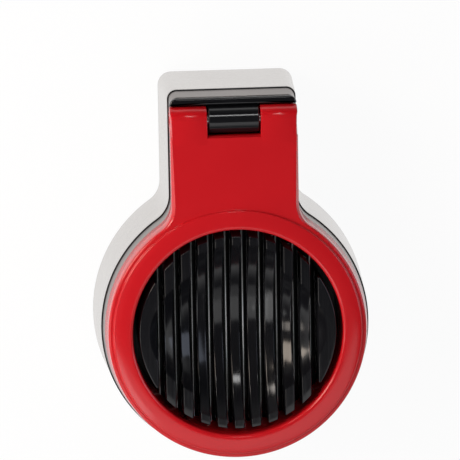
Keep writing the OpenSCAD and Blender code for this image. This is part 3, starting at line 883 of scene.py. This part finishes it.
@dataclass
class SlicingFrame:
    """Red frame: ring with a raised face, tail and the two outer knuckles of the hinge."""

    in_r: float = 32.4
    out_r: float = 40.7
    face_r: float = 38.4
    draft: float = 0.8
    crown: float = 0.6
    inner_edge: float = 1.1
    top: float = 40.0
    rim_z: float = 38.5
    low: float = 32.3
    edge: float = 0.5
    rim_edge: float = 0.85
    fillet: float = 0.3
    wall: float = 1.6
    foot_edge: float = 0.25
    foot_soft: float = 0.07
    channel_z: float = 36.9
    roof: float = 2.5
    roof_run: float = 4.0
    inner_low: float = 35.5
    inner_soft: float = 0.2
    tail_half: float = 19.55
    neck_r: float = 9.0
    plate_end: float = 61.3
    lap: float = 2.5
    skin: float = 0.01
    bevel: float = 1.0
    bevel_run: float = 8.0
    bore_r: float = 1.52
    gap_half: float = 8.2
    knuckle_foot: float = 1.0
    edge_middle: float = 0.3
    rib_half: float = 1.5
    rib_short: float = 1.0
    plan: KeyholePlan = field(init=False)

    def __post_init__(self) -> None:
        """Draws the plan of the plate that carries ring and tail."""
        self.plan = KeyholePlan(self.out_r, self.tail_half, self.neck_r, self.bevel / 2,
                                self.plate_end)

    @property
    def bevel_low(self) -> float:
        """Height at which the tail's bevel starts."""
        return self.rim_z - 2 * self.bevel

    def height(self, y: Array) -> Array:
        """Top of the rim and tail: level as far as the ring goes, then falling to the barrel.

        Args:
            y: places along the frame.

        Returns:
            The height at each.
        """
        y_pin, z_pin = HINGE
        share = np.clip((y - self.out_r) / (y_pin - self.out_r), 0, 1)
        return self.rim_z + (z_pin + BARREL_R - self.rim_z) * share

    def ceiling(self, y: Array) -> Array:
        """Underside of the plate: the ring's channel, and a little lower in the tail."""
        share = np.clip((y - self.face_r) / self.roof_run, 0, 1)
        return self.channel_z + (self.rim_z - self.roof - self.channel_z) * share

    def tail_share(self, y: Array) -> Array:
        """How far the ring's rounded rim has become the tail's bevel: a smooth step along Y.

        Args:
            y: places along the frame.

        Returns:
            0 on the ring to 1 on the tail.
        """
        start = self.out_r * math.sin(math.radians(self.plan.neck_deg))
        t = np.clip((y - start) / self.bevel_run, 0, 1)
        return t * t * (3 - 2 * t)

    def rim_rows(self) -> list[Array]:
        """Outer wall and rim: a drafted wall with a rounded edge, which is a bevel on the tail.

        Returns:
            The skin's rows from the wall's foot to the top of the rim.
        """
        low, e, k = self.low, self.foot_edge, self.foot_soft
        rows = [at_height(self.plan.loop(-d), z) for d, z in (
            (self.wall, low), (e, low), (k, low + k), (0.0, low + e))]
        outline = self.plan.loop()
        share = self.tail_share(outline[:, 1])
        top = self.height(outline[:, 1])
        for turn in np.radians(np.linspace(0, 90, 9)):
            d_round = self.draft + self.rim_edge * (1 - math.cos(turn))
            z_round = top - self.rim_edge * (1 - math.sin(turn))
            part = turn / (math.pi / 2)
            d_bevel = self.bevel * part * (top - self.bevel_low) / (2 * self.bevel)
            z_bevel = self.bevel_low * (1 - part) + top * part
            rows.append(self.inset(d_round * (1 - share) + d_bevel * share,
                                   z_round * (1 - share) + z_bevel * share))
        return rows

    def inset(self, d: Array, z: Array) -> Array:
        """The outline moved in by a distance that changes along it.

        Each point is mixed from its places at the smallest and at the largest distance.

        Args:
            d: the distance at each point.
            z: the height at each point.

        Returns:
            One row of the skin.
        """
        low, high = float(d.min()), float(d.max())
        share = ((d - low) / (high - low))[:, None]
        plan = self.plan.loop(-low) * (1 - share) + self.plan.loop(-high) * share
        return at_height(plan, z)

    def plate_rows(self, start: Array, end: Array, steps: int, under: bool) -> list[Array]:
        """Rows straight across the plate, from one plan to another.

        Args:
            start: the plan that they leave.
            end: the plan that the last one has.
            steps: how many rows there are.
            under: whether they follow the plate's underside, not its top.

        Returns:
            The rows.
        """
        rows = []
        for t in np.linspace(0, 1, steps + 1)[1:]:
            plan = start * (1 - t) + end * t
            z = self.ceiling(plan[:, 1]) if under else self.height(plan[:, 1])
            rows.append(at_height(plan, z))
        return rows

    def face(self, outer: float, inner: float) -> Array:
        """Section of the raised face: a parabola, level at its inner edge and falling outwards."""
        share = np.linspace(1, 0, 13)
        return np.stack([inner + (outer - inner) * share, self.top - self.crown * share ** 2], -1)

    def body(self) -> Shape:
        """Ring and tail in one closed skin, whose section is carried round the outline.

        Returns:
            The skin.
        """
        e, f = self.edge, self.fillet
        rows = self.rim_rows()
        foot = self.plan.on_circle(self.face_r + f)
        rows += self.plate_rows(rows[-1][:, :2], foot, 12, False)
        k = self.inner_edge
        lean = math.degrees(math.asin(2 * self.crown / (self.face_r - self.in_r - e - k)))
        section = np.concatenate([
            arc((self.face_r + f, self.rim_z + f), f, -110, -175, 4),
            arc((self.face_r - e, self.top - self.crown - e), e, 0, 90 - lean, 8),
            self.face(self.face_r - e, self.in_r + k)[1:],
            arc((self.in_r + k, self.top - k), k, 90, 180, 10)[1:],
            [[self.in_r, self.inner_low + self.inner_soft],
             [self.in_r + self.inner_soft, self.inner_low],
             [self.in_r + self.wall, self.inner_low], [self.in_r + self.wall, self.channel_z]]])
        rows += [at_height(self.plan.on_circle(r), z) for r, z in section]
        inner = self.plan.loop(-self.wall)
        rows += self.plate_rows(rows[-1][:, :2], inner, 10, True)
        return Shape.grid(np.array(rows), True, True).outward()

    def outer_knuckle(self) -> Shape:
        """Right-hand knuckle: the barrel's section with the tail's end, along X, and its bore.

        It laps over the plate's rounded end, a hair above it and a hair inside its walls, so
        that the two read as one.

        Returns:
            The knuckle, closed.
        """
        y, z = HINGE
        r, e, gap, foot = BARREL_R, BARREL_EDGE, self.gap_half, self.low + self.knuckle_foot
        start = 180 + math.degrees(math.asin((z - self.low) / r))
        join_y = self.plate_end - self.lap
        join_z = float(self.height(np.array(join_y))) + self.skin
        section = np.concatenate([
            arc((y, z), r, start, 90 + 360, 60), line((y, z + r), (join_y, join_z), 8)[1:],
            line((join_y, join_z), (join_y, foot), 6)[1:],
            line((join_y, foot), (y - r, self.low), 4)[1:]]) - [y, z]
        span = np.linalg.norm(section, axis=1, keepdims=True)
        bore, small = section / span * self.bore_r, section * (1 - e / span)
        rounded, part = section * (1 - self.edge_middle * e / span), e * self.edge_middle
        side = self.tail_half - self.skin
        limit = side - np.maximum(0, section[:, 1] + z - self.bevel_low) / 2
        return along_x([(gap, bore), (gap, small), (gap + part, rounded), (gap + e, section),
                        (limit - e, section), (limit - part, rounded), (limit, small),
                        (side, bore)], HINGE)

    def rib(self) -> Shape:
        """Rib between the two pockets under the tail.

        Returns:
            The rib, closed.
        """
        w, y0, y1 = self.rib_half, self.out_r, self.plate_end - self.rib_short
        plan = np.array([[-w, y0], [w, y0], [w, y1], [-w, y1]])
        centre = np.broadcast_to(plan.mean(0), plan.shape)
        rows = [at_height(p, z) for p, z in ((centre, self.low), (plan, self.low),
                                             (plan, self.channel_z), (centre, self.channel_z))]
        return Shape.grid(np.array(rows), False, True).outward()

    def shape(self) -> Shape:
        """Ring with its tail, two knuckles and the rib."""
        right = self.outer_knuckle()
        return Shape.join([self.body(), right, right.mirrored(), self.rib()])


class Swinging(Maker):
    """Everything that swings: frame, wire carrier, wires, pin and their screws."""

    wire_count: int = 10

    def build(self) -> None:
        """Makes the frame and dresses the CAD nodes that stay."""
        self.stand_for(SlicingFrame().shape().placed("slicing_frame"), "frame_ring", "frame",
                       "red_abs", RED_ABS)
        self.dress("wire_carrier", RED_ABS)
        self.dress("frame_screws", ZINC_STEEL)
        self.dress("hinge_pin", WIRE_STEEL)
        for number in range(1, self.wire_count + 1):
            self.dress(f"wire_{number}", WIRE_STEEL)


# ---- studio ----------------------------------------------

@dataclass(frozen=True)
class Softbox:
    """One plain soft lamp. Places are in metres from the slicer's middle.

    A fill lamp only lights: no gloss shows it.
    """

    name: str
    place: tuple[float, float, float]
    size: Pair
    power: float
    colour: str = "#ffffff"
    fill: bool = False


@dataclass
class Studio:
    """Floor, world, lamps and camera."""

    floor_half: float = 3.0
    floor_z: float = -0.0002
    camera_mm: tuple[float, float, float] = (0.588, 23.423, 1500.0)
    tilt_deg: float = 12.225
    side_deg: float = 4.345
    roll_deg: float = 0.98
    focal_px: float = 4750.7
    image_px: float = 460.0
    sensor_mm: float = 36.0
    clip_end: float = 20.0
    horizon: float = 0.95
    overhead: float = 0.04
    rise: Pair = (0.10, 0.50)
    behind: float = 0.15
    depth: Pair = (0.35, 0.70)
    plain: float = 0.93
    lamps: tuple[Softbox, ...] = (
        Softbox("overhead_fill", (0.0, 0.10, 1.20), (1.0, 1.0), 1.7, fill=True),
        Softbox("near_left_fill", (-0.18, 0.0, 0.22), (0.12, 0.12), 0.22, fill=True),
        Softbox("front_panel", (0.05, -0.59, 1.06), (1.3, 0.50), 2.1),
        Softbox("low_front_panel", (0.05, -0.89, 0.83), (1.3, 0.30), 0.62),
        Softbox("front_left_panel", (-0.50, -0.55, 0.80), (0.4, 0.5), 1.2),
        Softbox("left_softbox", (-0.50, 0.25, 0.33), (0.24, 0.42), 2.1, "#ffeedd"),
        Softbox("left_strip", (-0.50, -0.14, 0.36), (0.12, 0.22), 0.32, "#fff4ea"),
        Softbox("right_panel", (0.85, 0.12, 0.56), (0.5, 0.7), 1.9, "#e0e9ff"),
        Softbox("back_strip", (0.08, 0.68, 0.80), (0.14, 0.12), 0.5),
        Softbox("back_left_strip", (-0.50, 0.70, 0.46), (0.14, 0.14), 0.5, "#fff6ee"),
    )

    def camera(self) -> None:
        """Places the camera by its turn about three axes and its distance from the drum."""
        turn = (Matrix.Rotation(math.radians(self.roll_deg), 3, "Z")
                @ Matrix.Rotation(math.radians(self.tilt_deg), 3, "X")
                @ Matrix.Rotation(math.radians(self.side_deg), 3, "Y"))
        back = turn.transposed()
        place = (back @ Vector(self.camera_mm) + Vector((0, DRUM_Y, 0))) * MM
        data = bpy.data.cameras.new("camera")
        data.sensor_width = self.sensor_mm
        data.lens = self.focal_px / self.image_px * self.sensor_mm
        data.clip_end = self.clip_end
        camera = in_scene("camera", data)
        camera.matrix_world = Matrix.Translation(place) @ back.to_4x4()
        bpy.context.scene.camera = camera

    def world(self) -> None:
        """Bright towards the horizon, dim overhead and behind, and plain white to the camera."""
        world = bpy.data.worlds.new("studio_world")
        bpy.context.scene.world = world
        tree = cleared(world)
        way = add(tree, "ShaderNodeTexCoord")["Generated"]
        parts = add(tree, "ShaderNodeSeparateXYZ", None, {0: way})
        level = remap(tree, parts["Z"], self.rise, (self.horizon, self.overhead), "SMOOTHSTEP")
        front = remap(tree, parts["Y"], self.depth, (1.0, self.behind), "SMOOTHSTEP")
        level = add(tree, "ShaderNodeMath", None, {0: level, 1: front}, operation="MULTIPLY")[0]
        room = add(tree, "ShaderNodeBackground", {"Color": WHITE}, {"Strength": level})[0]
        white = add(tree, "ShaderNodeBackground", {"Color": WHITE})[0]
        seen = add(tree, "ShaderNodeLightPath")["Is Camera Ray"]
        mixed = add(tree, "ShaderNodeMixShader", None, {0: seen, 1: room, 2: white})[0]
        add(tree, "ShaderNodeOutputWorld", None, {"Surface": mixed})

    def floor(self) -> None:
        """White floor: mostly plain white to the camera and to gloss, and a real floor to light."""
        h, z = self.floor_half, self.floor_z
        mesh = bpy.data.meshes.new("floor")
        mesh.from_pydata([(-h, -h, z), (h, -h, z), (h, h, z), (-h, h, z)], [], [(0, 1, 2, 3)])
        floor = in_scene("floor", mesh)
        made = bpy.data.materials.new("white_paper_floor")
        tree = cleared(made)
        paper = add(tree, "ShaderNodeBsdfDiffuse", {"Color": linear("#f0f0f0")})[0]
        white = add(tree, "ShaderNodeEmission", {"Color": WHITE})[0]
        path = add(tree, "ShaderNodeLightPath")
        gloss = add(tree, "ShaderNodeMath", None,
                    {0: path["Is Glossy Ray"], 1: path["Is Transmission Ray"]}, operation="ADD")[0]
        seen = add(tree, "ShaderNodeMath", None, {0: path["Is Camera Ray"], 1: gloss},
                   operation="ADD", use_clamp=True)[0]
        share = add(tree, "ShaderNodeMath", {1: self.plain}, {0: seen}, operation="MULTIPLY")[0]
        mixed = add(tree, "ShaderNodeMixShader", None, {0: share, 1: paper, 2: white})[0]
        add(tree, "ShaderNodeOutputMaterial", None, {"Surface": mixed})
        mesh.materials.append(made)

    def lights(self) -> None:
        """Soft lamps, each turned to the slicer's middle."""
        for box in self.lamps:
            data = bpy.data.lights.new(box.name, "AREA")
            data.shape = "RECTANGLE"
            data.size, data.size_y = box.size
            data.energy = box.power
            data.color = linear(box.colour)[:3]
            lamp = in_scene(box.name, data)
            lamp.location = box.place
            lamp.rotation_euler = (-Vector(box.place)).to_track_quat("-Z", "Y").to_euler()
            lamp.visible_glossy = not box.fill

    def build(self) -> None:
        """Sets the scene round the slicer."""
        self.floor()
        self.world()
        self.lights()
        self.camera()
        bpy.context.scene.view_settings.view_transform = "Standard"


def main() -> None:
    """Builds the slicer and its studio."""
    logging.basicConfig(level=logging.INFO, format="%(message)s")
    for part in (Studio(), Base(), Swinging()):
        part.build()


if __name__ == "__main__":
    main()
